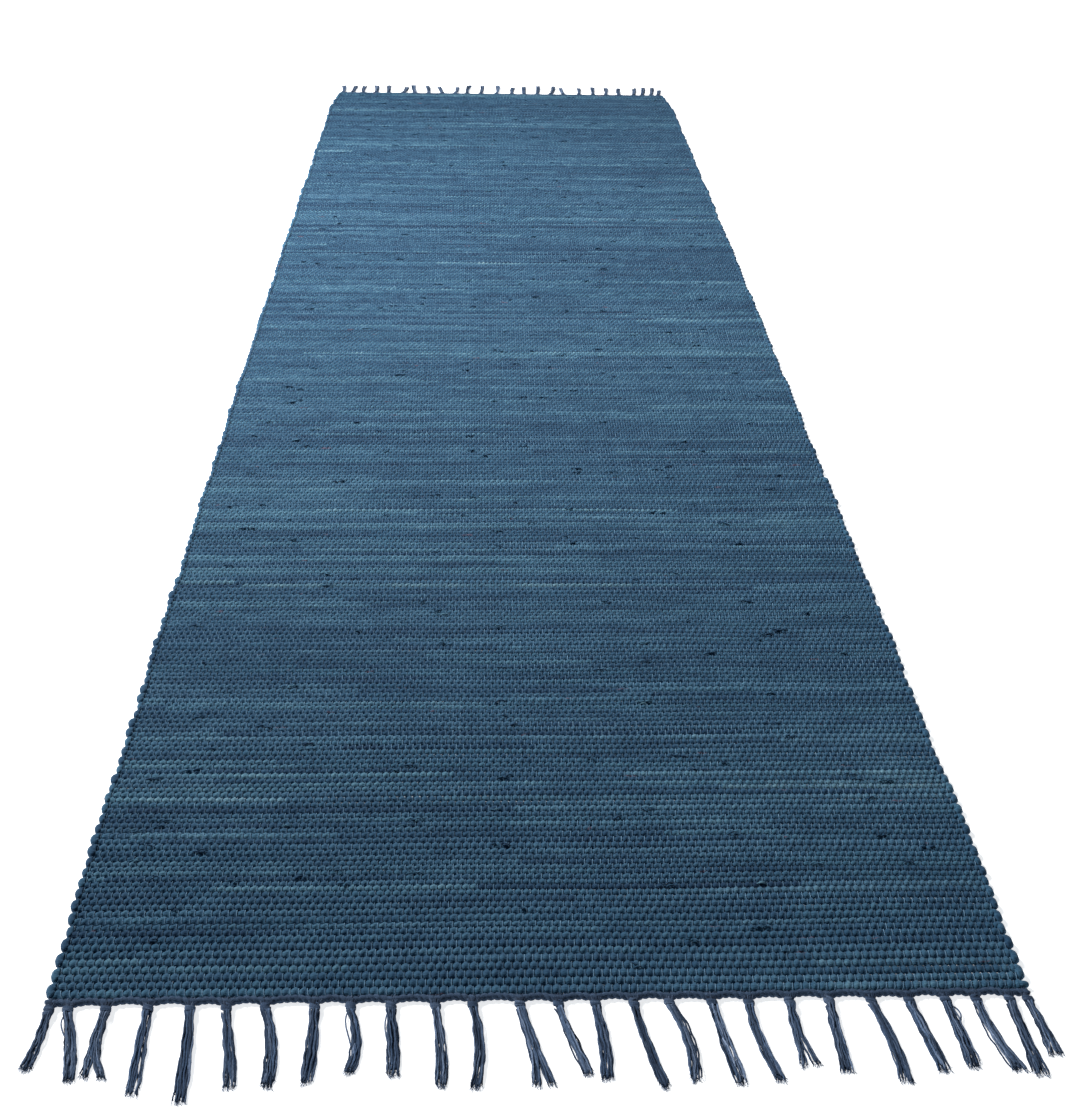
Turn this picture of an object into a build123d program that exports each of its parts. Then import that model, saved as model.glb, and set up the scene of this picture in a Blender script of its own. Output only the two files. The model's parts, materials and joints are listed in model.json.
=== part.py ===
from build123d import *
import os

# Hand-woven cotton rag runner, lying flat: +Y along its length, +X to the right, +Z up.
# The near end is at -Y. Z = 0 is the floor, and X = 0, Y = 0 is the middle of the woven body.

# Woven body
body_length = 2500.0
body_thickness = 6.5
weft_rows = 401
weft_pitch = body_length / weft_rows

# Half the width: a straight part, a slight bow at mid-length, and ends that draw in
straight_half_width = 350.5
middle_bow = 4.0
near_draw_in = 2.5
near_draw_reach = 60.0
far_draw_in = 9.5
far_draw_reach = 150.0
corner_radius = 4.0

# Distances from each end at which the outline's curve is set
near_stations = [0.0, 25.0, 60.0, 150.0, 450.0, 850.0]
far_stations = [0.0, 40.0, 100.0, 200.0, 450.0, 850.0]

# Fold line: four single weft rows between the two halves. The cloth bends at the near edge of
# each one, so the middle of those four edges is at mid-length.
fold_rows = 4
fold_start = -(fold_rows - 1) * weft_pitch / 2
fold_end = fold_start + fold_rows * weft_pitch

# Heading cord twined across each end of the warp
cord_width = 6.0
cord_height = 6.3
cord_round = 2.2
cord_end_inset = 3.0

# Tassels: a knot against the heading cord and a skirt of warp ends
knot_gap = 0.8
knot_radius = 4.8
knot_height = 6.4
skirt_height = 5.2
skirt_root_half = 3.2
skirt_middle_half = 4.6
skirt_tip_half = 5.2
skirt_tip_round = 2.0

# Each tassel: place of its knot from the left edge line, sideways shift of its tip,
# reach beyond the heading cord, sideways bow at half its length.
# Two are knotted side by side at the near left corner, and are one node.
near_corner_tassels = [
    (8, -4, 54, 1),
    (21, 13, 64, 2),
]
near_tassels = [
    (47, 3, 62, -3),
    (76, 2, 76, 0),
    (105, 5, 82, 1),
    (130, 11, 71, 1),
    (157, 8, 71, 4),
    (191, 0, 68, 1),
    (216, 3, 60, 5),
    (244, 4, 63, 1),
    (275, 5, 72, 2),
    (301, 2, 74, 4),
    (334, 15, 73, 1),
    (361, 18, 64, 0),
    (387, 4, 68, 2),
    (414, 15, 76, -1),
    (439, 11, 70, 5),
    (469, 11, 73, 0),
    (495, 12, 71, -2),
    (524, 5, 59, -1),
    (552, 1, 64, 0),
    (582, 9, 74, 3),
    (609, 10, 65, 1),
    (635, 5, 62, 1),
    (657, 13, 65, -2),
    (681, 3, 69, 0),
    (694, 5, 52, 1),
]
far_tassels = [
    (18, -4, 67, 1),
    (37, 3, 65, 0),
    (59, 0, 66, -1),
    (86, -2, 70, 1),
    (112, -2, 73, 0),
    (143, 6, 61, 1),
    (167, -5, 79, -1),
    (196, -4, 73, 1),
    (225, -8, 65, 0),
    (252, 4, 66, 2),
    (277, 5, 80, -1),
    (306, 3, 80, 1),
    (339, 3, 82, 2),
    (371, 4, 66, -1),
    (397, 1, 73, 0),
    (425, 4, 81, 1),
    (453, 9, 79, 2),
    (480, -3, 66, -1),
    (513, 3, 67, 1),
    (543, 3, 75, 0),
    (570, 4, 71, 1),
    (598, 3, 68, -1),
    (629, 7, 70, 1),
    (647, 9, 77, 1),
    (666, 9, 76, 1),
    (681, 8, 56, 0),
]


def half_width(y):
    """Half the width of the woven body at a place along its length."""
    bow = middle_bow * (1 - (2 * y / body_length) ** 2)
    from_near = y + body_length / 2
    from_far = body_length / 2 - y
    near = near_draw_in * max(0.0, 1 - from_near / near_draw_reach) ** 2
    far = far_draw_in * max(0.0, 1 - from_far / far_draw_reach) ** 2
    return straight_half_width + bow - near - far


def field(end, stations, inner_edge):
    """Half of the woven body, from its rounded outer corners in to the fold rows."""
    places = [end * (body_length / 2 - step) for step in stations] + [inner_edge]
    right = [(half_width(y), y) for y in places]
    left = [(-x, y) for x, y in right]
    sides = [Spline(*left), Spline(*right)]
    ends = [Line(left[0], right[0]), Line(left[-1], right[-1])]
    face = make_face(Curve() + sides + ends)
    corners = face.vertices().sort_by(Axis.Y, reverse=end > 0)[:2]
    return extrude(fillet(corners, corner_radius), amount=body_thickness, dir=(0, 0, 1))


def fold_row(number):
    """One weft row of the fold line, counted from the near side."""
    y_middle = fold_start + (number - 0.5) * weft_pitch
    middle = Location((0, y_middle, body_thickness / 2))
    return middle * Box(2 * half_width(0), weft_pitch, body_thickness)


def heading_cord(end):
    """The cord across one end, its inner face against the weave and its outer edges rounded."""
    y_inner = end * body_length / 2
    half = half_width(y_inner) - cord_end_inset
    middle = Location((0, y_inner + end * cord_width / 2, cord_height / 2))
    bar = middle * Box(2 * half, cord_width, cord_height)
    long_edges = bar.edges().filter_by(Axis.X)
    outer = long_edges.filter_by(lambda e: end * (e.center().Y - y_inner) > cord_width / 2)
    return fillet(outer, cord_round)


def tassel(end, offset, shift, reach, bow):
    """One knotted bundle of warp ends, lying on the floor and leading away from the cord."""
    x_knot = offset - straight_half_width
    y_face = end * (body_length / 2 + cord_width)
    y_knot = y_face + end * (knot_gap + knot_radius)
    y_tip = y_face + end * reach
    y_shoulder = y_tip - end * skirt_tip_round
    y_middle = (y_knot + y_tip) / 2
    x_middle = x_knot + shift / 2 + bow
    x_tip = x_knot + shift
    sides = []
    for side in (-1, 1):
        root = (x_knot + side * skirt_root_half, y_knot)
        middle = (x_middle + side * skirt_middle_half, y_middle)
        shoulder = (x_tip + side * skirt_tip_half, y_shoulder)
        sides.append(Spline(root, middle, shoulder))
    base = Line(sides[0] @ 0, sides[1] @ 0)
    tip = ThreePointArc(sides[0] @ 1, (x_tip, y_tip), sides[1] @ 1)
    outline = make_face(Curve() + sides + [base, tip])
    skirt = extrude(outline, amount=skirt_height, dir=(0, 0, 1))
    knot = Location((x_knot, y_knot, knot_height / 2)) * Cylinder(knot_radius, knot_height)
    return knot + skirt


def save(shape, name):
    export_step(shape, f"parts/{name}.step")


os.makedirs("parts", exist_ok=True)

save(field(-1, near_stations, fold_start), "near_field")
save(field(1, far_stations, fold_end), "far_field")
for number in range(1, fold_rows + 1):
    save(fold_row(number), f"fold_row_{number}")

near_nodes = [near_corner_tassels] + [[one] for one in near_tassels]
far_nodes = [[one] for one in far_tassels]
for end, word, nodes in ((-1, "near", near_nodes), (1, "far", far_nodes)):
    save(heading_cord(end), f"{word}_heading_cord")
    for number, bundles in enumerate(nodes, start=1):
        solids = [tassel(end, *bundle) for bundle in bundles]
        shape = solids[0] if len(solids) == 1 else Compound(children=solids)
        save(shape, f"{word}_tassel_{number:02d}")
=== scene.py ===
import json
import math
import bpy
import numpy as np
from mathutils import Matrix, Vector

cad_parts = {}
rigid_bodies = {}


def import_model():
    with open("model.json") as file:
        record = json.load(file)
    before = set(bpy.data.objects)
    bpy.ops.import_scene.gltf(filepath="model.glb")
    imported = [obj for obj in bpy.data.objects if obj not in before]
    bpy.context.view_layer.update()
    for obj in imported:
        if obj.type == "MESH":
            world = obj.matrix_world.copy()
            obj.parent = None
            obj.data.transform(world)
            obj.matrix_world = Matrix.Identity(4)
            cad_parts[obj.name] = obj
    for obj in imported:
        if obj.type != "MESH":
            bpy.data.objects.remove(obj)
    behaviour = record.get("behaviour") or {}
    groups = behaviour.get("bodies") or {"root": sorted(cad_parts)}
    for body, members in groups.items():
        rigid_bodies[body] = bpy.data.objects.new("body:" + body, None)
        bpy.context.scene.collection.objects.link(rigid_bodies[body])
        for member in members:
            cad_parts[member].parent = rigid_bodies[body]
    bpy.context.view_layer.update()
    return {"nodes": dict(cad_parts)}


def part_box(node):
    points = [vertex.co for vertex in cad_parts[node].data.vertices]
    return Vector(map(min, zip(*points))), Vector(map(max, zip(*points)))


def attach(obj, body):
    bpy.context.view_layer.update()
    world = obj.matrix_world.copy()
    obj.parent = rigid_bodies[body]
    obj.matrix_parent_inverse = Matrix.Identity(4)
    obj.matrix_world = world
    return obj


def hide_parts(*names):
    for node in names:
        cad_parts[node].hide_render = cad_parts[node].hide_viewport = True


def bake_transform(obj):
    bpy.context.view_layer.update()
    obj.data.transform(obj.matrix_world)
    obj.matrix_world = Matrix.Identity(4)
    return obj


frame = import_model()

random = np.random.default_rng(41)

# ---------------------------------------------------------------- places taken from the frame

near_low, near_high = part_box("near_field")
far_low, far_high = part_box("far_field")
body_y0 = near_low[1]
body_y1 = far_high[1]
fold_y0 = near_high[1]
fold_y1 = far_low[1]
fold_middle = (fold_y0 + fold_y1) / 2
fold_count = 4
pitch = (fold_y1 - fold_y0) / fold_count
near_count = round((fold_y0 - body_y0) / pitch)
far_count = round((body_y1 - fold_y1) / pitch)
row_count = near_count + fold_count + far_count
first_far = near_count + fold_count

# Highest point of each kind of yarn above the floor
weft_top = 0.0070
selvedge_top = 0.0068
knot_top = 0.0064
skirt_top = 0.0062
cord_top = 0.0063
neck_top = 0.0066
rag_end_top = 0.0071


def mesh_points(name):
    mesh = bpy.data.objects[name].data
    points = np.empty(len(mesh.vertices) * 3)
    mesh.vertices.foreach_get("co", points)
    return points.reshape(-1, 3)


def outline_table():
    """Half the width of the body against its length, from the two field nodes."""
    points = np.vstack([mesh_points("near_field"), mesh_points("far_field")])
    side = points[points[:, 0] > 0.3]
    places = np.unique(np.round(side[:, 1], 5))
    widths = [side[np.abs(side[:, 1] - y) < 2e-5, 0].max() for y in places]
    return places, np.array(widths)


outline_y, outline_x = outline_table()


def half_width(y):
    """The CAD outline, with the small unevenness of a hand-woven edge."""
    calm = np.clip((np.abs(y - fold_middle) - 0.015) / 0.08, 0, 1)
    calm = calm * np.clip((body_y1 - np.abs(y)) / 0.04, 0, 1)
    uneven = 0.0008 * np.sin(23 * y + 1) + 0.0006 * np.sin(61 * y + 2) + 0.0004 * np.sin(139 * y)
    return np.interp(y, outline_y, outline_x) + calm * uneven


# ---------------------------------------------------------------- meshes made of tubes

def tube_faces(count, rings, sides, offset):
    """Quads along every tube and one cap at each end, as loop indices and loop counts."""
    tube = np.arange(count)[:, None, None] * rings * sides + offset
    ring = np.arange(rings - 1)[None, :, None] * sides
    side = np.arange(sides)[None, None, :]
    a = (tube + ring + side).ravel()
    b = (tube + ring + (side + 1) % sides).ravel()
    quads = np.stack([a, b, b + sides, a + sides], axis=1)
    base = (np.arange(count) * rings * sides + offset)[:, None]
    first = base + np.arange(sides)[::-1][None, :]
    last = base + (rings - 1) * sides + np.arange(sides)[None, :]
    return quads, np.vstack([first, last])


def tube_uv(count, rings, sides, low, high):
    """One strip of the map for each tube, its length running across the map."""
    tube = np.arange(count)[:, None, None]
    ring = np.arange(rings - 1)[None, :, None]
    side = np.arange(sides)[None, None, :]
    step = (high - low) / count
    u0 = np.broadcast_to(ring / (rings - 1), (count, rings - 1, sides)).ravel()
    u1 = u0 + 1 / (rings - 1)
    v0 = np.broadcast_to(low + step * (tube + 0.9 * side / sides), (count, rings - 1, sides)).ravel()
    v1 = v0 + 0.9 * step / sides
    quads = np.stack([u0, v0, u0, v1, u1, v1, u1, v0], axis=1).reshape(-1, 2)
    ends = []
    for u in (0.0, 1.0):
        spots = np.repeat(low + step * (np.arange(count) + 0.45), sides)
        ends.append(np.stack([np.full_like(spots, u), spots], axis=1))
    return quads, np.vstack(ends)


def tube_piece(name, groups, material, body=None):
    """One closed mesh from groups of tubes: each group is rings (tube, ring, side, 3), shade, tint."""
    total = sum(g[0].shape[0] for g in groups)
    offset = 0
    placed = 0
    parts = {"co": [], "quad": [], "cap": [], "uv_quad": [], "uv_cap": [], "shade": [], "tint": []}
    sizes = []
    for rings, shade, tint in groups:
        count, length, sides, _ = rings.shape
        quads, caps = tube_faces(count, length, sides, offset)
        low = placed / total
        placed += count
        uv_quads, uv_caps = tube_uv(count, length, sides, low, placed / total)
        parts["co"].append(rings.reshape(-1, 3))
        parts["quad"].append(quads.ravel())
        parts["cap"].append(caps.ravel())
        parts["uv_quad"].append(uv_quads)
        parts["uv_cap"].append(uv_caps)
        for key, values in (("shade", shade), ("tint", tint)):
            values = np.asarray(values)
            if values.ndim < 3:
                values = values[..., None]
            parts[key].append(np.broadcast_to(values, (count, length, sides)).ravel())
        sizes.append(np.full(len(quads), 4))
        sizes.append(np.full(len(caps), sides))
        offset += count * length * sides
    loops = []
    maps = []
    for i in range(len(groups)):
        loops += [parts["quad"][i], parts["cap"][i]]
        maps += [parts["uv_quad"][i], parts["uv_cap"][i]]
    loops = np.concatenate(loops).astype(np.int32)
    maps = np.vstack(maps)
    sizes = np.concatenate(sizes)
    starts = np.concatenate([[0], np.cumsum(sizes)[:-1]]).astype(np.int32)
    mesh = bpy.data.meshes.new(name)
    mesh.vertices.add(offset)
    mesh.vertices.foreach_set("co", np.concatenate(parts["co"]).astype(np.float32).ravel())
    mesh.loops.add(len(loops))
    mesh.loops.foreach_set("vertex_index", loops)
    mesh.polygons.add(len(sizes))
    mesh.polygons.foreach_set("loop_start", starts)
    mesh.polygons.foreach_set("use_smooth", np.ones(len(sizes), dtype=bool))
    mesh.update(calc_edges=True)
    layer = mesh.uv_layers.new(name="OFBake")
    layer.uv.foreach_set("vector", np.clip(maps, 0, 1).astype(np.float32).ravel())
    for key in ("shade", "tint"):
        data = mesh.attributes.new(key, "FLOAT", "POINT")
        data.data.foreach_set("value", np.concatenate(parts[key]).astype(np.float32))
    mesh.materials.append(material)
    piece = bpy.data.objects.new(name, mesh)
    bpy.context.scene.collection.objects.link(piece)
    if body:
        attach(piece, body)
    return piece


def round_tubes(paths, radius, sides, spin=0.0):
    """Round rings along paths (tube, ring, 3); radius is a number or (tube, ring)."""
    ahead = np.gradient(paths, axis=1)
    ahead /= np.linalg.norm(ahead, axis=2, keepdims=True) + 1e-12
    up = np.broadcast_to(np.array([0.0, 0.0, 1.0]), ahead.shape)
    across = np.cross(ahead, up)
    length = np.linalg.norm(across, axis=2, keepdims=True)
    across = np.where(length > 0.05, across / (length + 1e-12), np.array([1.0, 0.0, 0.0]))
    above = np.cross(across, ahead)
    angle = 2 * math.pi * np.arange(sides) / sides + spin
    radius = np.broadcast_to(radius, paths.shape[:2])[..., None, None]
    ring = across[:, :, None, :] * np.cos(angle)[:, None] + above[:, :, None, :] * np.sin(angle)[:, None]
    return paths[:, :, None, :] + radius * ring


def press(rings, top):
    """Flatten rings in place where they would pass the floor or the given height."""
    rings[..., 2] = np.clip(rings[..., 2], 0.0, top)


# ---------------------------------------------------------------- materials

# Darker places in the colour, painted shade among them, turn a deeper blue: red falls fastest, then green,
# then blue
rag_tone_and_shade_powers = (1.8, 1.2, 0.85)
thread_tone_and_shade_powers = (1.15, 1.05, 0.95)


def ramp_node(nodes, stops):
    ramp = nodes.new("ShaderNodeValToRGB")
    while len(ramp.color_ramp.elements) < len(stops):
        ramp.color_ramp.elements.new(0.5)
    for element, (place, colour) in zip(ramp.color_ramp.elements, stops):
        element.position = place
        element.color = (*colour, 1.0)
    return ramp


def noise_node(nodes, scale, detail, roughness):
    noise = nodes.new("ShaderNodeTexNoise")
    noise.inputs["Scale"].default_value = scale
    noise.inputs["Detail"].default_value = detail
    noise.inputs["Roughness"].default_value = roughness
    return noise


def range_node(nodes, from_low, from_high, to_low, to_high):
    span = nodes.new("ShaderNodeMapRange")
    span.inputs["From Min"].default_value = from_low
    span.inputs["From Max"].default_value = from_high
    span.inputs["To Min"].default_value = to_low
    span.inputs["To Max"].default_value = to_high
    return span


def yarn_material(name, stops, powers_for_tone_and_shade, stretch, mottle, fibre, rough, sheen, bump, specks=0.0):
    """Matt cotton: colour by the piece's tint and shade, mottled along the yarn, with fibre bump."""
    material = bpy.data.materials.new(name)
    material.use_nodes = True
    nodes = material.node_tree.nodes
    links = material.node_tree.links
    shader = nodes["Principled BSDF"]
    place = nodes.new("ShaderNodeTexCoord")
    mapping = nodes.new("ShaderNodeMapping")
    mapping.inputs["Scale"].default_value = stretch
    links.new(place.outputs["Object"], mapping.inputs["Vector"])
    tint = nodes.new("ShaderNodeAttribute")
    tint.attribute_name = "tint"
    shade = nodes.new("ShaderNodeAttribute")
    shade.attribute_name = "shade"
    ramp = ramp_node(nodes, stops)
    drift = noise_node(nodes, mottle, 3.0, 0.6)
    links.new(mapping.outputs["Vector"], drift.inputs["Vector"])
    fibres = noise_node(nodes, fibre, 2.0, 0.7)
    links.new(mapping.outputs["Vector"], fibres.inputs["Vector"])
    wander = nodes.new("ShaderNodeMath")
    wander.operation = "MULTIPLY_ADD"
    wander.inputs[1].default_value = 0.5
    links.new(drift.outputs["Fac"], wander.inputs[0])
    links.new(tint.outputs["Fac"], wander.inputs[2])
    links.new(wander.outputs[0], ramp.inputs["Fac"])
    light = range_node(nodes, 0.25, 0.75, 0.55, 1.45)
    links.new(fibres.outputs["Fac"], light.inputs["Value"])
    strength = nodes.new("ShaderNodeMath")
    strength.operation = "MULTIPLY"
    links.new(light.outputs["Result"], strength.inputs[0])
    links.new(shade.outputs["Fac"], strength.inputs[1])
    # The strength, painted shade included, is raised to a power per channel so that darker places turn a
    # deeper blue
    depth = nodes.new("ShaderNodeCombineXYZ")
    for axis, power in zip("XYZ", powers_for_tone_and_shade):
        deep = nodes.new("ShaderNodeMath")
        deep.operation = "POWER"
        deep.inputs[1].default_value = power
        links.new(strength.outputs[0], deep.inputs[0])
        links.new(deep.outputs[0], depth.inputs[axis])
    colour = nodes.new("ShaderNodeVectorMath")
    colour.operation = "MULTIPLY"
    links.new(ramp.outputs["Color"], colour.inputs[0])
    links.new(depth.outputs[0], colour.inputs[1])
    result = colour.outputs["Vector"]
    if specks:
        spots = noise_node(nodes, mottle * 1.7, 1.0, 0.5)
        links.new(mapping.outputs["Vector"], spots.inputs["Vector"])
        where = range_node(nodes, specks, specks + 0.03, 0.0, 1.0)
        links.new(spots.outputs["Fac"], where.inputs["Value"])
        mix = nodes.new("ShaderNodeMix")
        mix.data_type = "RGBA"
        mix.inputs["B"].default_value = (0.075, 0.060, 0.095, 1.0)
        links.new(where.outputs["Result"], mix.inputs["Factor"])
        links.new(result, mix.inputs["A"])
        result = mix.outputs["Result"]
    links.new(result, shader.inputs["Base Color"])
    grain = range_node(nodes, 0.0, 1.0, rough - 0.12, rough + 0.1)
    links.new(drift.outputs["Fac"], grain.inputs["Value"])
    links.new(grain.outputs["Result"], shader.inputs["Roughness"])
    shader.inputs["Specular IOR Level"].default_value = 0.25
    shader.inputs["Sheen Weight"].default_value = sheen
    shader.inputs["Sheen Roughness"].default_value = 0.45
    shader.inputs["Sheen Tint"].default_value = (0.55, 0.75, 1.0, 1.0)
    relief = nodes.new("ShaderNodeBump")
    relief.inputs["Strength"].default_value = bump
    relief.inputs["Distance"].default_value = 0.0006
    links.new(fibres.outputs["Fac"], relief.inputs["Height"])
    links.new(relief.outputs["Normal"], shader.inputs["Normal"])
    return material


rag_stops = [
    (0.10, (0.0150, 0.054, 0.105)),
    (0.35, (0.0255, 0.080, 0.142)),
    (0.60, (0.0380, 0.110, 0.174)),
    (0.80, (0.0620, 0.142, 0.202)),
    (1.00, (0.1000, 0.190, 0.248)),
]
warp_stops = [(0.1, (0.030, 0.080, 0.140)), (0.9, (0.120, 0.210, 0.300))]
cord_stops = [(0.1, (0.014, 0.032, 0.070)), (0.9, (0.050, 0.085, 0.145))]
tassel_stops = [(0.1, (0.012, 0.027, 0.064)), (0.5, (0.042, 0.074, 0.136)), (1.0, (0.16, 0.21, 0.31))]

rag = yarn_material("rag_weft", rag_stops, rag_tone_and_shade_powers, (0.25, 1.0, 1.0), 90, 900, 0.88, 0.12, 0.8, 0.765)
warp = yarn_material("warp_thread", warp_stops, thread_tone_and_shade_powers, (1.0, 0.4, 1.0), 200, 1500, 0.85, 0.1, 0.5)
twine = yarn_material("heading_cotton", cord_stops, thread_tone_and_shade_powers, (0.5, 1.0, 1.0), 120, 1300, 0.88, 0.1, 0.6)
tassel_yarn = yarn_material("tassel_cotton", tassel_stops, thread_tone_and_shade_powers, (1.0, 0.3, 1.0), 160, 1800, 0.86,
                            0.1, 0.6)

# ---------------------------------------------------------------- the weft

warp_count = 223
edge_inset = 0.0062
mid_height = 0.0032
swing = 0.00062
interlock = 0.14
half_deep = 0.0034
half_high = 0.0021
row_sway = 0.00015
bead_shift = 0.00014
fold_plump = 1.42
last_near_plump = 1.25


def row_centres():
    """Row centres and half-depths: uneven in each half, even at the fold and the two ends."""
    size = np.ones(row_count)
    runs = np.repeat(random.normal(0, 0.09, row_count), 2)[:row_count]
    size += np.clip(runs + random.normal(0, 0.06, row_count), -0.17, 0.17)
    number = np.arange(row_count)
    size += 0.30 * np.exp(-number / 7) + 0.15 * np.exp(-(row_count - 1 - number) / 5)
    size[near_count - 2:first_far + 2] = 1.0
    near = number < near_count
    far = number >= first_far
    for part, length in ((near, near_count), (far, far_count)):
        size[part] *= length / size[part].sum()
    edges = body_y0 + pitch * np.concatenate([[0], np.cumsum(size)])
    edges[near_count:first_far + 1] = fold_y0 + pitch * np.arange(fold_count + 1)
    return (edges[1:] + edges[:-1]) / 2, edges


row_y, row_edges = row_centres()
row_half = np.diff(row_edges) / 2
# Rows beside a fold line are plump enough to stay closed when the cloth bends there
row_plump = np.ones(row_count)
row_plump[near_count - 1] = last_near_plump
row_plump[near_count:first_far] = fold_plump


def fade(y):
    """Nought at the fold and at the two ends, one over the rest."""
    near_fold = np.clip((np.abs(y - fold_middle) - 2.4 * pitch) / 0.06, 0, 1)
    near_end = np.clip((np.minimum(y - body_y0, body_y1 - y)) / 0.03, 0, 1)
    return near_fold * near_end


wave_facts = [
    (random.uniform(2, 9), random.uniform(3, 30), random.uniform(0, 6.3), random.uniform(0.08, 0.3))
    for _ in range(10)
]


def wander(x, y):
    """Smooth waviness of the rows, in metres along Y."""
    total = 0.0
    for along, over, start, size in wave_facts:
        total = total + size * np.sin(along * 3 * x + over * y + start)
    return 0.0012 * total * fade(y)


# The weft is torn rag: one strip after another along the path of the shuttle
strip_count = 1300
path_ends = np.cumsum(random.gamma(1.6, 0.15, strip_count) + 0.05)
path_shade = np.clip(random.normal(1.0, 0.17, strip_count + 1), 0.55, 1.6)
path_tint = np.clip(random.normal(0.14, 0.13, strip_count + 1), 0.0, 0.6)
path_thick = np.clip(random.normal(1.0, 0.04, strip_count + 1), 0.96, 1.08)


def rag_at(row, x, half):
    """Which strip of rag lies at a place along a row."""
    run = np.where(row % 2 == 0, x + half, half - x)
    return np.searchsorted(path_ends, row * 2 * half + run)


def along_row(x, count):
    """Independent smooth unevenness of each row along its length, about -1 to 1."""
    total = np.zeros(x.shape)
    for wave in (9, 21, 47, 95):
        start = random.uniform(0, 6.3, (count, 1))
        total = total + random.normal(0, 0.42, (count, 1)) * np.sin(wave * x + start)
    return np.clip(total, -1.6, 1.6)


section = np.radians([90, 12, -12, -90, -168, 168])


def weft_rows(first, last):
    """Rows first to last - 1 as tubes that ride over and under the warp."""
    rows = np.arange(first, last)[:, None]
    u = np.arange(-0.5, warp_count, 0.5)[None, :]
    half = half_width(row_y[rows]) - edge_inset
    x = (2 * (u + 0.5) / warp_count - 1) * half
    calm = fade(row_y[rows])
    far = np.clip((row_y[rows] + 0.7) / 1.4, 0, 1)
    over = np.cos(math.pi * (u + rows))
    strip = rag_at(rows, x, half)
    noise = random.normal(0, 1, (3, last - first, x.shape[1]))
    fat = along_row(x, last - first)
    thick = path_thick[strip] * (1 + 0.06 * noise[0] * (over > 0.5))
    y = row_y[rows] + wander(x, row_y[rows])
    y = y + calm * (row_sway * along_row(x, last - first) + bead_shift * noise[0] * (over > 0.5))
    z = mid_height + swing * over * (1 + 0.15 * noise[1])
    skew = random.uniform(0.05, 0.6, (last - first, 1)) * np.where(rows < 5, 0.4, 1.0)
    row_shade = 1 + (1 + 0.9 * far) * random.normal(0.0, 0.07, (last - first, 1))
    lift = np.sin(section)[None, None, :]
    side = np.cos(section)[None, None, :]
    fit = (row_half[rows] / (pitch / 2))[..., None]
    swell = 1 + interlock * over[..., None] * np.sign(lift)
    deep = half_deep * (fit * row_plump[rows][..., None]) * thick[..., None] * swell * side
    high = half_high * (0.6 + 0.4 * fit) * (thick * (1 + 0.10 * fat))[..., None] * lift
    points = np.empty(x.shape + (6, 3))
    points[..., 0] = x[..., None] + skew[..., None] * deep
    points[..., 1] = y[..., None] + deep
    points[..., 2] = z[..., None] + high
    press(points, weft_top)
    # Painted highlight and shade: bead tops over the warp are lighter and the sunk cells under it darker,
    # more so towards the far end
    painted_cell_light = (0.04 + 0.28 * far) * (over > 0.5) - (0.08 + 0.58 * far) * (over < -0.5)
    streak = sum(np.roll(noise[2], step, axis=1) for step in range(6)) / 2.4
    # Painted shade where the row stands lower, as the colour follows its height (fat); the row, noise and
    # streak terms are tone that differs at random
    tone_and_painted_light = row_shade + painted_cell_light + (0.07 + 0.12 * far) * noise[2] + (0.04 + 0.05 * far) * streak + 0.13 * fat
    # Painted shade in the grooves: the flanks where the rows meet are darker than the tops and undersides,
    # more so towards the far end
    painted_groove_floor = (0.86 - 0.58 * far)[..., None]
    painted_groove_shade = painted_groove_floor + (1 - painted_groove_floor) * np.abs(np.sin(section)) ** 1.5
    shade = (path_shade[strip] * np.clip(tone_and_painted_light, 0.3, 1.8))[..., None] * painted_groove_shade
    return points, shade, path_tint[strip]


def turn_side(row):
    """The side at which a row turns back into the next one: -1 for left, 1 for right."""
    return -1 if row % 2 == 0 else 1


def selvedge_loops(first, last, final):
    """Half-turns that join pairs of rows at the two sides; final is the body's last row + 1."""
    paths = []
    facts = []
    sizes = []
    for row in range(first, min(last, final - 1)):
        side = turn_side(row)
        y0, y1 = row_y[row], row_y[row + 1]
        half = half_width((y0 + y1) / 2) - edge_inset
        out = (y1 - y0) / 2 + random.uniform(-0.0014, 0.0006)
        angle = np.linspace(-math.pi / 2, math.pi / 2, 9) * 0.9999
        x = side * (half - 0.0004 + out * np.cos(angle) ** 0.55)
        y = (y0 + y1) / 2 + (y1 - y0) / 2 * np.sign(angle) * np.abs(np.sin(angle)) ** 0.8
        y = y + wander(side * half, (y0 + y1) / 2)
        z = np.full(9, mid_height + random.uniform(-0.0001, 0.0002))
        paths.append(np.stack([x, y, z], axis=1))
        facts.append(rag_at(np.array(row + 1), np.array(side * half), half))
        sizes.append(min(1.2, math.sqrt((y1 - y0) / pitch)))
    if not paths:
        return None
    paths = np.array(paths)
    facts = np.array(facts)
    thick = random.uniform(0.0029, 0.0034, (len(paths), 1)) * np.array(sizes)[:, None]
    rings = round_tubes(paths, thick, 7)
    press(rings, selvedge_top)
    return rings, 0.78 * path_shade[facts][:, None] * np.ones((1, 9)), path_tint[facts][:, None]


def row_stubs(rows_and_sides):
    """Rounded ends for rows that join no other row at that side."""
    paths = []
    strips = []
    sizes = np.array([1.0, 1.0, 0.97, 0.86, 0.62, 0.3])
    for row, side in rows_and_sides:
        half = half_width(row_y[row]) - edge_inset
        x = side * (half + np.array([-0.001, 0.0015, 0.003, 0.0045, 0.0056, 0.0061]))
        paths.append(np.stack([x, np.full(6, row_y[row]), np.full(6, mid_height)], axis=1))
        strips.append(int(rag_at(np.array(row), np.array(side * half), half)))
    strips = np.array(strips)
    rings = round_tubes(np.array(paths), 0.0030 * sizes[None, :], 7)
    return rings, path_shade[strips][:, None] * np.ones((1, 6)), path_tint[strips][:, None]


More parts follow.
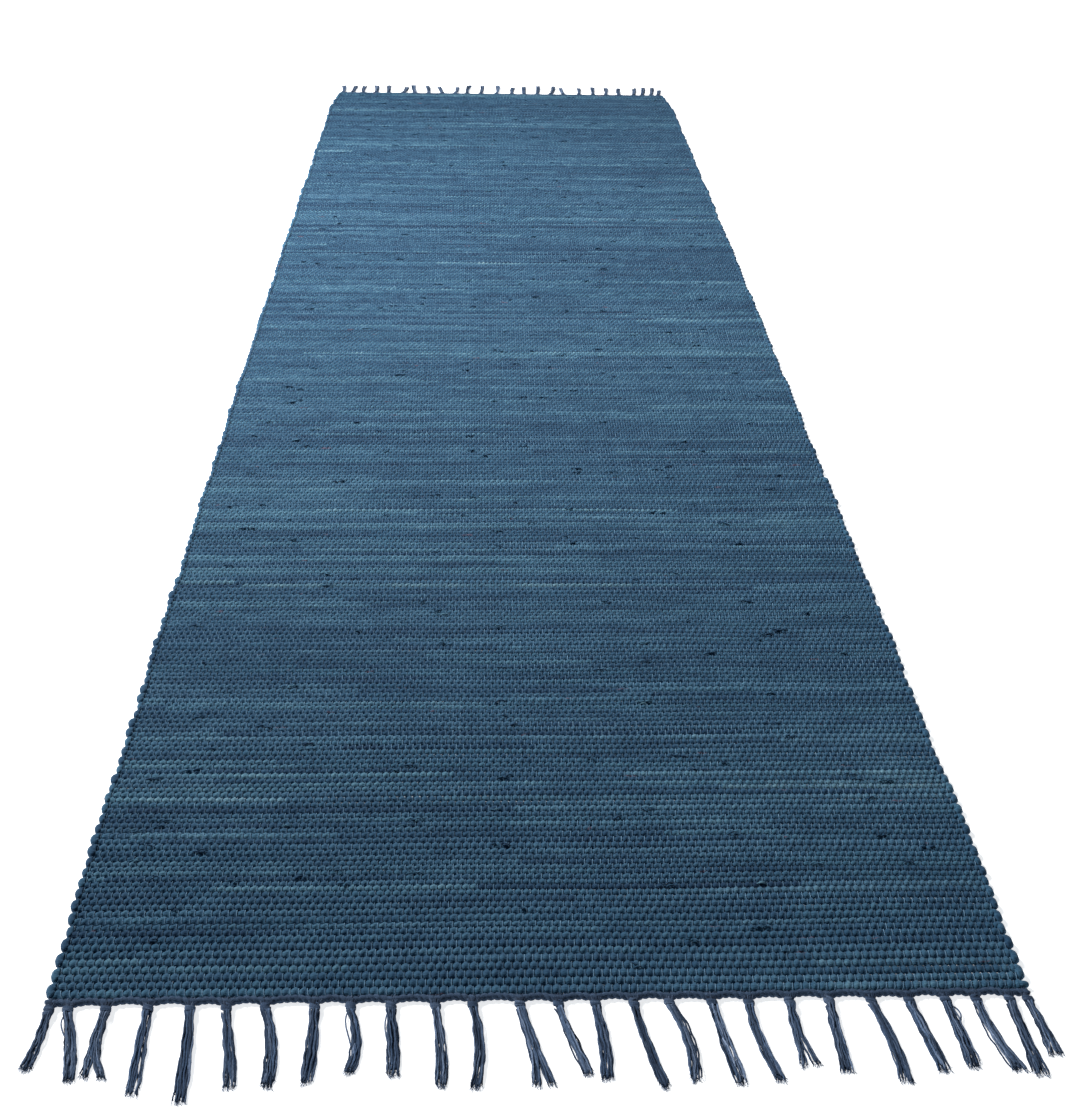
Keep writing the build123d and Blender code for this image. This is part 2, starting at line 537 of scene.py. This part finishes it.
def weft_piece(name, first, last, final, stubs, body, nodes):
    groups = [weft_rows(first, last)]
    loops = selvedge_loops(first, last, final)
    if loops:
        groups.append(loops)
    if stubs:
        groups.append(row_stubs(stubs))
    piece = tube_piece(name, groups, rag, body)
    if nodes:
        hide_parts(*nodes)
    return piece


def split(first, last, count):
    marks = np.linspace(first, last, count + 1).round().astype(int)
    return list(zip(marks[:-1], marks[1:]))


cloth = []
for word, start, stop in (("near", 0, near_count), ("far", first_far, row_count)):
    for number, (first, last) in enumerate(split(start, stop, 6), start=1):
        stubs = []
        if first == start:
            stubs.append((first, -turn_side(first)))
        if last == stop:
            stubs.append((last - 1, turn_side(last - 1)))
        nodes = [f"{word}_field"] if number == 1 else []
        piece = weft_piece(f"{word}_weft_{number}", first, last, stop, stubs, f"{word}_half", nodes)
        cloth.append((piece, first, last))
for number in range(1, fold_count + 1):
    row = near_count + number - 1
    ends = [(row, -1), (row, 1)]
    body = f"fold_strip_{number}"
    piece = weft_piece(f"fold_weft_{number}", row, row + 1, row + 1, ends, body, [f"fold_row_{number}"])

# The blocks' row ranges, the fold rows counted with the near block beside them
for piece, first, last in cloth:
    beside = last == near_count
    if beside:
        last += fold_count

# ---------------------------------------------------------------- the warp

warp_radius = 0.00038
warp_rise = 0.0020
hold = 0.28
# The outer ends reach under the heading cords, and a gap parts the warp at the fold's open side
tuck = 0.002
fold_gap = 0.0006
row_phase = random.random(row_count)
thread_shade = np.clip(random.normal(1.0, 0.05, warp_count), 0.8, 1.2)
thread_tint = random.uniform(0.1, 0.35, warp_count)


def warp_places(first, last, start, end):
    """Places along the warp as (y, row that it crosses there, or None at mid-height)."""
    places = [(start, None)]
    for row in range(first, last):
        gap = hold * 2 * row_half[row]
        places.append((row_y[row] - gap, row))
        places.append((row_y[row] + gap, row))
    places.append((end, None))
    return places


def warp_piece(name, places, body=None):
    """Every warp thread over one stretch, lying over one row and under the next."""
    thread = np.arange(warp_count)[:, None]
    y = np.array([p[0] for p in places])[None, :]
    sign = np.zeros((warp_count, len(places)))
    for i, (_, row) in enumerate(places):
        if row is not None:
            sign[:, i] = -np.cos(math.pi * (np.arange(warp_count) + row))
    x = (2 * (thread + 0.5) / warp_count - 1) * (half_width(y) - edge_inset)
    y = y + wander(x, y)
    z = mid_height + warp_rise * sign
    paths = np.stack([x, np.broadcast_to(y, x.shape), z], axis=2)
    rings = np.empty(paths.shape[:2] + (3, 3))
    for k, angle in enumerate(np.radians([90, -30, -150])):
        rings[:, :, k, 0] = paths[..., 0] + warp_radius * math.cos(angle) * 1.15
        rings[:, :, k, 1] = paths[..., 1]
        rings[:, :, k, 2] = paths[..., 2] + warp_radius * math.sin(angle)
    rows = np.array([near_count if row is None else row for _, row in places])
    patch = np.zeros(x.shape)
    for wave, size in ((7, 0.5), (17, 0.6), (43, 0.5), (110, 0.4)):
        patch = patch + size * np.sin(wave * x + 6.3 * row_phase[(rows + wave) % row_count])
    glint = np.random.default_rng(len(places)).normal(0, 0.3, x.shape)
    bright = 0.85 + 0.45 * np.clip(patch, -0.9, 2.2) + 0.35 * glint
    shade = thread_shade[:, None] * np.clip(bright + 0.3 * (rows < 2), 0.35, 1.5)
    return tube_piece(name, [(rings, shade, thread_tint[:, None])], warp, body)


for number, (first, last) in enumerate(split(0, near_count - 1, 3), start=1):
    start = body_y0 - tuck if first == 0 else row_edges[first]
    places = warp_places(first, last, start, row_edges[last])
    if last == near_count - 1:
        places.append((row_y[last], last))
    warp_piece(f"near_warp_{number}", places, "near_half")
for number, (first, last) in enumerate(split(first_far, row_count, 3), start=1):
    start = row_edges[first] + (fold_gap if first == first_far else 0.0)
    end = body_y1 + tuck if last == row_count else row_edges[last]
    warp_piece(f"far_warp_{number}", warp_places(first, last, start, end), "far_half")
bodies = ["near_half"] + [f"fold_strip_{i}" for i in range(1, fold_count + 1)]
gap = hold * pitch
for number in range(fold_count):
    row = near_count - 1 + number
    places = [(row_y[row], row), (row_y[row] + gap, row), (row_edges[row + 1], None)]
    places += [(row_y[row + 1] - gap, row + 1), (row_y[row + 1], row + 1)]
    bend = warp_piece(f"fold_warp_{number + 1}", places)
    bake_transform(bend)
row = first_far - 1
tail = [(row_y[row], row), (row_y[row] + gap, row), (row_edges[row + 1] - fold_gap, None)]
warp_piece("fold_warp_end", tail, bodies[-1])

# ---------------------------------------------------------------- the tassels' places

def islands(points, edges):
    """Groups of joined points, with points at one place taken as one."""
    keys = {}
    parent = []
    index = []
    for point in np.round(points, 6):
        key = tuple(point)
        if key not in keys:
            keys[key] = len(parent)
            parent.append(len(parent))
        index.append(keys[key])

    def root(i):
        while parent[i] != i:
            i = parent[i]
        return i

    for a, b in edges:
        parent[root(index[a])] = root(index[b])
    roots = np.array([root(i) for i in index])
    return [roots == r for r in np.unique(roots)]


def tassel_shapes(name, end):
    """Centreline, half-width and root of every bundle in a tassel node, from its CAD mesh."""
    mesh = bpy.data.objects[name].data
    points = mesh_points(name)
    edges = np.empty(len(mesh.edges) * 2, dtype=np.int32)
    mesh.edges.foreach_get("vertices", edges)
    edges = edges.reshape(-1, 2)
    shapes = []
    for group in islands(points, edges):
        mine = points[group]
        own = edges[group[edges[:, 0]]]
        reach = end * mine[:, 1]
        root, tip = reach.min(), reach.max()
        stations = np.linspace(root + 0.0048, tip - 0.0025, 9)
        y0 = end * points[own[:, 0], 1]
        y1 = end * points[own[:, 1], 1]
        centre = []
        width = []
        for station in stations:
            cross = (y0 - station) * (y1 - station) <= 0
            cross &= np.abs(y1 - y0) > 1e-7
            part = (station - y0[cross]) / (y1[cross] - y0[cross])
            x = points[own[cross, 0], 0] * (1 - part) + points[own[cross, 1], 0] * part
            centre.append((x.min() + x.max()) / 2)
            width.append((x.max() - x.min()) / 2)
        shapes.append({"y": stations, "x": np.array(centre), "half": np.array(width),
                       "root": root, "tip": tip})
    return sorted(shapes, key=lambda s: s["x"][0])


near_names = sorted(n for n in frame["nodes"] if n.startswith("near_tassel"))
far_names = sorted(n for n in frame["nodes"] if n.startswith("far_tassel"))

# ---------------------------------------------------------------- tassels

knot_thread = 0.00078
skirt_thread = (0.00062, 0.00084)
fray_thread = 0.00018
loose_thread = 0.0006
neck_thread = 0.0007
ragged = 0.05


def knot_threads(shape, end, seed):
    """Threads wound round the bundle: a short, fat, tilted coil."""
    rand = np.random.default_rng(seed)
    count = 4
    turn = np.linspace(0, 1, 22)[None, :]
    order = np.arange(count)[:, None]
    hand = 1 if rand.random() < 0.8 else -1
    angle = 2 * math.pi * (1.35 * turn + order * 0.05) * hand + rand.uniform(0, 6.3)
    along = (turn - 0.5) * 0.0046 + (order - (count - 1) / 2) * 0.0013
    belly = np.sqrt(1 - 0.75 * (along / 0.0044) ** 2)
    x = shape["x"][0] + 0.0032 * belly * np.cos(angle) + 0.0006 * np.sin(2 * angle)
    y = shape["root"] + 0.0026 + along + 0.0016 * np.sin(angle + 0.8)
    z = 0.0030 + 0.0023 * belly * np.sin(angle)
    paths = np.stack([x, end * y, np.broadcast_to(z, x.shape)], axis=2)
    rings = round_tubes(paths, knot_thread, 6)
    press(rings, knot_top)
    shade = np.clip(rand.normal(0.85, 0.1, (count, 1)), 0.5, 1.3) * np.ones((1, 22))
    return rings, shade, rand.uniform(0.0, 0.45, (count, 1))


def skirt_threads(shape, end, seed, count, spread, part_ways):
    """The free warp ends: wavy plied threads, looser and more ragged towards the tip."""
    rand = np.random.default_rng(seed)
    steps = 30
    along = np.linspace(0, 1, steps)[None, :]
    order = np.linspace(-1, 1, count)[:, None]
    order = order[rand.permutation(count)]
    lane = order + 0.2 * rand.normal(0, 1, (count, 1))
    cut = 1 - np.abs(rand.normal(0, ragged, (count, 1)))
    cut[0] = 1.0
    begin = shape["y"][0] + 0.001
    finish = shape["tip"] - 0.0008
    y = begin + (finish - begin) * along * cut
    x = np.interp(y, shape["y"], shape["x"])
    half = np.interp(y, shape["y"], shape["half"])
    lean = np.interp(y, [begin, begin + 0.012, finish - 0.02, finish],
                     [0.66, 0.80, 0.80, 0.74 * spread])
    cross = rand.uniform(1.2, 3.2, (count, 1))
    phase = rand.uniform(0, 6.3, (count, 1))
    sway = 0.16 * np.sin(cross * along * 2.4 + phase) * np.minimum(1, along * 4)
    kink = 0.00030 * np.sin(17 * along + phase * 3) + 0.00020 * np.sin(31 * along + phase)
    x = x + np.clip(lane + sway, -1.15, 1.15) * (half - 0.0006) * lean + kink
    x = x + part_ways * np.sign(lane) * along ** 5
    layer = rand.permutation(count)[:, None] / count
    rise = 0.0005 + 0.0038 * layer * (1 - 0.62 * along) + 0.0004 * np.sin(9 * along + phase)
    rise += 0.0012 * np.exp(-(along / 0.12) ** 2)
    radius = rand.uniform(*skirt_thread, (count, 1)) * (1 + 0.08 * np.sin(95 * along + phase))
    radius = radius * np.where(along > 0.94, 0.85, 1.0)
    z = np.maximum(rise, radius)
    paths = np.stack([x, end * y, z], axis=2)
    rings = round_tubes(paths, radius, 6, spin=0.3)
    press(rings, skirt_top)
    shade = np.clip(rand.normal(0.95, 0.3, (count, 1)), 0.35, 1.8) * (1 - 0.15 * np.cos(95 * along))
    # Painted shade: threads that lie lower in the bundle, under the others, are darker
    shade = shade * (0.58 + 0.62 * layer)
    tint = rand.uniform(0.0, 0.55, (count, 1))
    return (rings, shade, tint), paths[:, -4:, :]


def frayed_tips(tips, end, seed):
    """Fine fibres where the threads' ends have come untwisted."""
    rand = np.random.default_rng(seed)
    paths = []
    for tip in tips:
        heading = tip[-1] - tip[0]
        heading /= np.linalg.norm(heading)
        for _ in range(3):
            turn = rand.normal(0, 0.42)
            x = heading[0] * math.cos(turn) - heading[1] * math.sin(turn)
            y = heading[0] * math.sin(turn) + heading[1] * math.cos(turn)
            length = rand.uniform(0.0012, 0.0038)
            step = np.linspace(-0.5, 1, 6)
            line = tip[-1][None, :] + np.outer(step * length, [x, y, 0.0])
            line[:, 0] += 0.0004 * step ** 2 * rand.normal()
            line[:, 2] = np.maximum(0.0002, line[:, 2] * np.linspace(1, 0.4, 6))
            paths.append(line)
    rings = round_tubes(np.array(paths), fray_thread, 3)
    rings[..., 2] = np.maximum(rings[..., 2], 0.0)
    count = len(paths)
    return rings, np.full((count, 6), 1.15), np.full((count, 1), 0.5)


def loose_loop(shape, end, seed, side, size):
    """One loose thread that swings out beside the tassel."""
    rand = np.random.default_rng(seed)
    along = np.linspace(0, 1, 26)
    start = shape["y"][0]
    length = (shape["tip"] - start) * size
    y = start + length * along
    x = np.interp(y, shape["y"], shape["x"])
    x = x + side * (0.0015 + 0.0045 * np.sin(math.pi * along ** 0.8) + 0.001 * rand.normal() * along)
    z = 0.0008 + 0.0016 * np.sin(math.pi * along)
    path = np.stack([x, end * y, z], axis=1)[None]
    rings = round_tubes(path, loose_thread, 6)
    return rings, np.full((1, 26), 1.1), np.full((1, 1), 0.45)


# Tassels with a loose thread at one side, wider tips, or tips that part in two
loops_at = {"near_tassel_01": (-1, 0.5), "near_tassel_08": (-1, 0.6), "near_tassel_09": (-1, 0.8),
            "near_tassel_23": (1, 0.35), "far_tassel_07": (1, 0.5), "far_tassel_17": (-1, 0.6)}
wide_at = {"near_tassel_02": 1.25, "near_tassel_12": 1.3, "near_tassel_19": 1.3,
           "near_tassel_20": 1.25, "near_tassel_21": 1.2, "near_tassel_23": 1.3,
           "near_tassel_24": 1.4, "near_tassel_25": 1.45, "near_tassel_26": 1.3}
split_at = {"near_tassel_02": 0.0035, "near_tassel_12": 0.0025, "near_tassel_19": 0.002}
roots = {"near": [], "far": []}
for end, word, names in ((-1, "near", near_names), (1, "far", far_names)):
    for number, name in enumerate(names):
        shapes = tassel_shapes(name, end)
        groups = []
        for part, shape in enumerate(shapes):
            seed = 1000 * (end + 2) + 10 * number + part
            roots[word].append(shape)
            threads = 18 + (seed * 7) % 4
            spread = wide_at.get(name, 1.0)
            part_ways = split_at.get(name, 0.0)
            skirt, tips = skirt_threads(shape, end, seed, threads, spread, part_ways)
            groups.append(skirt)
            groups.append(knot_threads(shape, end, seed + 5))
            groups.append(frayed_tips(tips, end, seed + 7))
            if name in loops_at and part == len(shapes) - 1:
                side, size = loops_at[name]
                groups.append(loose_loop(shape, end, seed + 9, side, size))
        piece = tube_piece(f"{name}_yarn", groups, tassel_yarn, f"{word}_fringe")
        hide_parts(name)

# ---------------------------------------------------------------- heading cords and necks

cord_strand = 0.0018
cord_turn = 0.0095
cord_pull = 0.0024
cord_pull_reach = 0.0075


def heading_piece(word, end):
    """Two strands twined along the end of the warp over a straight one, drawn outward at every knot."""
    low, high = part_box(f"{word}_heading_cord")
    steps = 520
    x = np.linspace(low[0] - 0.0010, high[0] + 0.0010, steps)
    knots = np.array([s["x"][0] for s in roots[word]])
    nearest = np.abs(x[:, None] - knots[None, :]).min(axis=1)
    pull = cord_pull * np.exp(-(nearest / cord_pull_reach) ** 2)
    base = (low[1] + high[1]) / 2 - end * 0.0019
    rand = np.random.default_rng(77 + end)
    wave = 0.0003 * np.sin(x * 55 + 1) + 0.0002 * np.sin(x * 131)
    paths = []
    for start in (0, math.pi):
        angle = 2 * math.pi * x / cord_turn + start
        y = base + end * (pull + wave) + 0.0010 * np.cos(angle)
        paths.append(np.stack([x, y, 0.0028 + 0.0012 * np.sin(angle)], axis=1))
    paths.append(np.stack([x, np.full(steps, base - end * 0.0002), np.full(steps, 0.0020)], axis=1))
    rings = round_tubes(np.array(paths), cord_strand, 8)
    press(rings, cord_top)
    shade = np.clip(rand.normal(1.0, 0.12, (len(paths), steps)), 0.6, 1.4)
    tint = np.full((len(paths), 1), 0.25)
    piece = tube_piece(f"{word}_heading_twine", [(rings, shade, tint)], twine,
                       f"{word}_half")
    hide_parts(f"{word}_heading_cord")


def neck_piece(word, end):
    """The warp ends between the heading cord and each knot."""
    low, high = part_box(f"{word}_heading_cord")
    inner, hinge = (low[1], high[1]) if end > 0 else (high[1], low[1])
    rand = np.random.default_rng(91 + end)
    along = np.linspace(0, 1, 8)
    paths = []
    for shape in roots[word]:
        for lane in np.linspace(-1, 1, 7):
            y0 = end * inner - 0.0008
            y1 = shape["root"] + 0.0035
            x = shape["x"][0] + lane * (0.0016 + 0.0052 * (1 - along) ** 1.2) + 0.0002 * rand.normal()
            x = np.clip(x, low[0] + 0.0014, high[0] - 0.0014)
            y = end * (y0 + (y1 - y0) * along)
            z = 0.0032 + 0.0014 * np.sin(math.pi * np.clip(along * 1.1, 0, 1)) - 0.0004 * abs(lane)
            paths.append(np.stack([x, y, z], axis=1))
    rings = round_tubes(np.array(paths), neck_thread, 6)
    press(rings, neck_top)
    count = len(paths)
    # Painted shade: the necks, sunk between the heading cord and the knots, are coloured at about half
    # tone
    shade = np.clip(rand.normal(0.5, 0.12, (count, 1)), 0.3, 0.9) * np.ones((1, 8))
    piece = tube_piece(f"{word}_necks", [(rings, shade, rand.uniform(0, 0.5, (count, 1)))],
                       tassel_yarn)
    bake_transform(piece)


for end, word in ((-1, "near"), (1, "far")):
    heading_piece(word, end)
    neck_piece(word, end)

# ---------------------------------------------------------------- rag ends

def rag_ends(word, body, first, last, top, under):
    """Short ends of rag that show on the two faces where one strip gives way to the next."""
    rand = np.random.default_rng(11 + first)
    paths = []
    strips = []
    darks = []
    for face, count in ((1, top), (-1, under)):
        for _ in range(count):
            row = rand.integers(first + 3, last - 3)
            y0 = row_edges[row] if rand.random() < 0.6 else row_y[row]
            x0 = rand.uniform(-0.32, 0.32)
            dark = rand.choice([0.45, 0.55, 0.65, 0.8, 1.2])
            along = np.linspace(0, 1, 6)
            for _ in range(rand.integers(2, 5)):
                length = rand.uniform(0.003, 0.009) * rand.choice([-1, 1])
                turn = rand.normal(0, 0.45)
                x = x0 + rand.normal(0, 0.0015) + length * along * math.cos(turn)
                y = y0 + rand.normal(0, 0.0008) + length * along * math.sin(turn) * 0.7 + wander(x0, y0)
                arch = np.sin(math.pi * along ** 0.8)
                height = 0.0052 + 0.0012 * arch if face > 0 else 0.0011 - 0.0004 * arch
                paths.append(np.stack([x, y, height], axis=1))
                strips.append(rand.integers(0, 500))
                darks.append(dark)
    sizes = np.array([0.5, 1.0, 1.1, 0.9, 0.7, 0.25])[None, :]
    thick = rand.uniform(0.0004, 0.0009, (len(paths), 1))
    rings = round_tubes(np.array(paths), thick * sizes, 5)
    press(rings, rag_end_top)
    shade = np.array(darks)[:, None] * np.ones((1, 6))
    tube_piece(f"{word}_rag_ends", [(rings, shade, path_tint[strips][:, None] + 0.1)],
               rag, body)


rag_ends("near", "near_half", 0, near_count, 190, 60)
rag_ends("far", "far_half", first_far, row_count, 190, 60)

# ---------------------------------------------------------------- floor, light and camera

wall_sides = 32
wall_height = 6
floor_radius = 55
floor_z = -0.0003
wall_turns = 2 * math.pi * np.arange(wall_sides) / wall_sides
wall_foot = [(floor_radius * math.cos(a), floor_radius * math.sin(a), floor_z) for a in wall_turns]
wall_top = [(x, y, wall_height) for x, y, _ in wall_foot]
wall_faces = [(i, (i + 1) % wall_sides, (i + 1) % wall_sides + wall_sides, i + wall_sides)
              for i in range(wall_sides)]
floor_mesh = bpy.data.meshes.new("floor")
floor_mesh.from_pydata(wall_foot + wall_top, [], [tuple(range(wall_sides))] + wall_faces)
floor = bpy.data.objects.new("floor", floor_mesh)
bpy.context.scene.collection.objects.link(floor)
paint = bpy.data.materials.new("floor_paint")
paint.use_nodes = True
floor_shader = paint.node_tree.nodes["Principled BSDF"]
floor_shader.inputs["Base Color"].default_value = (0.92, 0.92, 0.92, 1)
floor_shader.inputs["Roughness"].default_value = 0.9
floor_shader.inputs["Specular IOR Level"].default_value = 0.1
floor_shader.inputs["Emission Color"].default_value = (1, 1, 1, 1)
floor_shader.inputs["Emission Strength"].default_value = 0.75
floor_mesh.materials.append(paint)

world = bpy.data.worlds.new("studio")
bpy.context.scene.world = world
world.use_nodes = True
sky = world.node_tree.nodes["Background"]
sky.inputs["Color"].default_value = (0.55, 0.80, 1, 1)
sky.inputs["Strength"].default_value = 0.09


def area_light(name, place, target, size, power, spread):
    """A rectangular lamp aimed at a target; the spread of its beam is in degrees."""
    data = bpy.data.lights.new(name, "AREA")
    data.spread = math.radians(spread)
    data.shape = "RECTANGLE"
    data.size, data.size_y = size
    data.energy = power
    lamp = bpy.data.objects.new(name, data)
    lamp.location = place
    ahead = np.array(target) - np.array(place)
    lamp.rotation_euler = (math.atan2(math.hypot(ahead[0], ahead[1]), -ahead[2]), 0,
                           math.atan2(ahead[1], ahead[0]) - math.pi / 2)
    bpy.context.scene.collection.objects.link(lamp)


area_light("back_left", (-1.8, 0.3, 2.1), (0, 0.3, 0), (1.4, 1.0), 82, 108)

camera_data = bpy.data.cameras.new("camera")
camera_data.lens = 49.24
camera_data.sensor_width = 36
camera = bpy.data.objects.new("camera", camera_data)
camera.location = (-0.0431, -2.0189, 0.8211)
camera.rotation_euler = (math.radians(59.088), math.radians(-1.092), math.radians(-1.885))
bpy.context.scene.collection.objects.link(camera)
bpy.context.scene.camera = camera
bpy.context.scene.view_settings.view_transform = "Standard"
